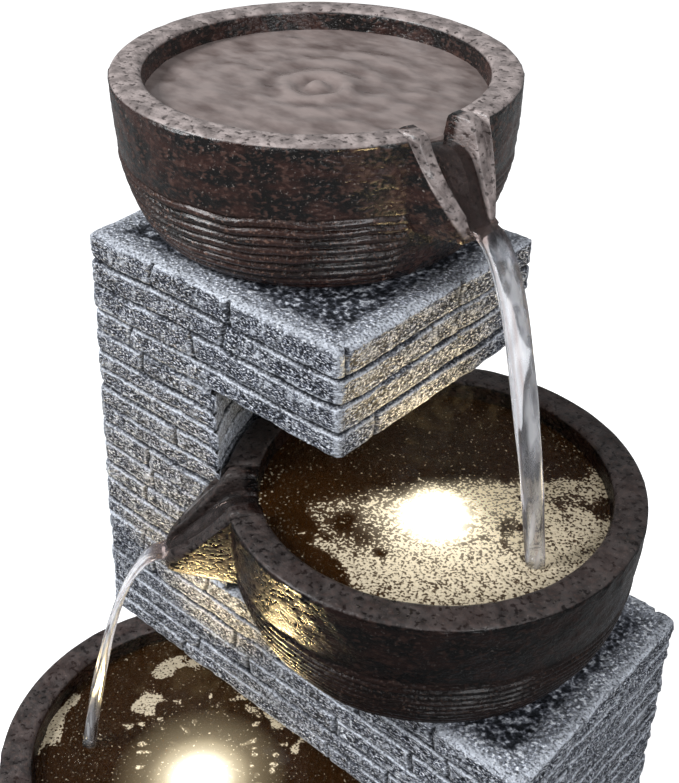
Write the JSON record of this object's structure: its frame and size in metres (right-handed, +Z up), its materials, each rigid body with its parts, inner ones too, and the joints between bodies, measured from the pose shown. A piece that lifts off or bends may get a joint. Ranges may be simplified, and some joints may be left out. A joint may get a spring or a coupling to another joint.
{
  "type": "tabletop water fountain",
  "caption": "Indoor tabletop fountain: lit bowls step down a stacked-stone tower and spill into one another above a basin that hides the pump.",
  "frame": {"origin": "centre of the whole object's outline, on the plane it rests on", "axes": "+Z up; -Y is the front, where the lower bowl stands; +X is the right, towards which the middle bowl steps out; the rear door and the inlet are on +Y"},
  "size_m": [0.19, 0.196, 0.2951],
  "materials": {
    "stacked_stone": "matt cast resin with stacked-stone relief and dry-brushed edges",
    "door_resin": "matt, lightly textured",
    "bowl_resin": "pitted dark brown cast resin with a soft sheen",
    "black_plastic": "satin moulded",
    "white_plastic": "smooth moulded",
    "grey_plastic": "satin moulded",
    "soft_rubber": "matt",
    "hose_vinyl": "milky, smooth",
    "lead_jacket": "satin",
    "led_lens": "clear epoxy dome",
    "led_board": "white solder mask",
    "nickel_steel": "nickel plated",
    "shaft_ceramic": "ground",
    "ferrite": "moulded ferrite"
  },
  "bodies": {
    "tower": {"base_basin": "stacked_stone", "base_feet": "soft_rubber", "bowl_pedestal": "stacked_stone", "lower_column": "stacked_stone", "middle_block": "stacked_stone", "column": "stacked_stone", "top_block": "stacked_stone", "top_bowl": "bowl_resin", "middle_bowl": "bowl_resin", "lower_bowl": "bowl_resin", "outlet_nozzle": "black_plastic", "nozzle_nut": "black_plastic", "nozzle_gasket": "soft_rubber", "riser_hose": "hose_vinyl", "hose_clip": "nickel_steel", "middle_led_housing": "black_plastic", "middle_led_lens": "led_lens", "middle_led_board": "led_board", "middle_led_gasket": "soft_rubber", "middle_led_nut": "black_plastic", "lower_led_housing": "black_plastic", "lower_led_lens": "led_lens", "lower_led_board": "led_board", "lower_led_gasket": "soft_rubber", "lower_led_nut": "black_plastic", "pump_body": "black_plastic", "pump_cover": "black_plastic", "volute_seal": "soft_rubber", "pump_cups": "soft_rubber", "impeller_shaft": "shaft_ceramic", "shaft_bushes": "soft_rubber", "knob_cap": "nickel_steel", "pump_lead": "lead_jacket", "middle_led_lead": "lead_jacket", "lower_led_lead": "lead_jacket", "jack_lead": "lead_jacket", "splice_block": "black_plastic", "dc_jack_housing": "black_plastic", "dc_jack_pin": "nickel_steel", "dc_jack_nut": "nickel_steel"},
    "rotor": {"impeller": "white_plastic", "rotor_magnet": "ferrite"},
    "knob": {"flow_knob": "grey_plastic"},
    "door": {"rear_door": "door_resin"}
  },
  "joints": [
    {"name": "impeller_spin", "type": "hinge", "parent": "tower", "child": "rotor", "pos_m": [-0.0555, 0.053, 0.024], "axis": [1, 0, 0], "continuous": true},
    {"name": "flow_knob_turn", "type": "hinge", "parent": "tower", "child": "knob", "pos_m": [-0.068, 0.053, 0.024], "axis": [1, 0, 0], "range_deg": [0, 45]},
    {"name": "rear_door_pull", "type": "slide", "parent": "tower", "child": "door", "axis": [0, 1, 0], "range_m": [0, 0.04]}
  ]
}
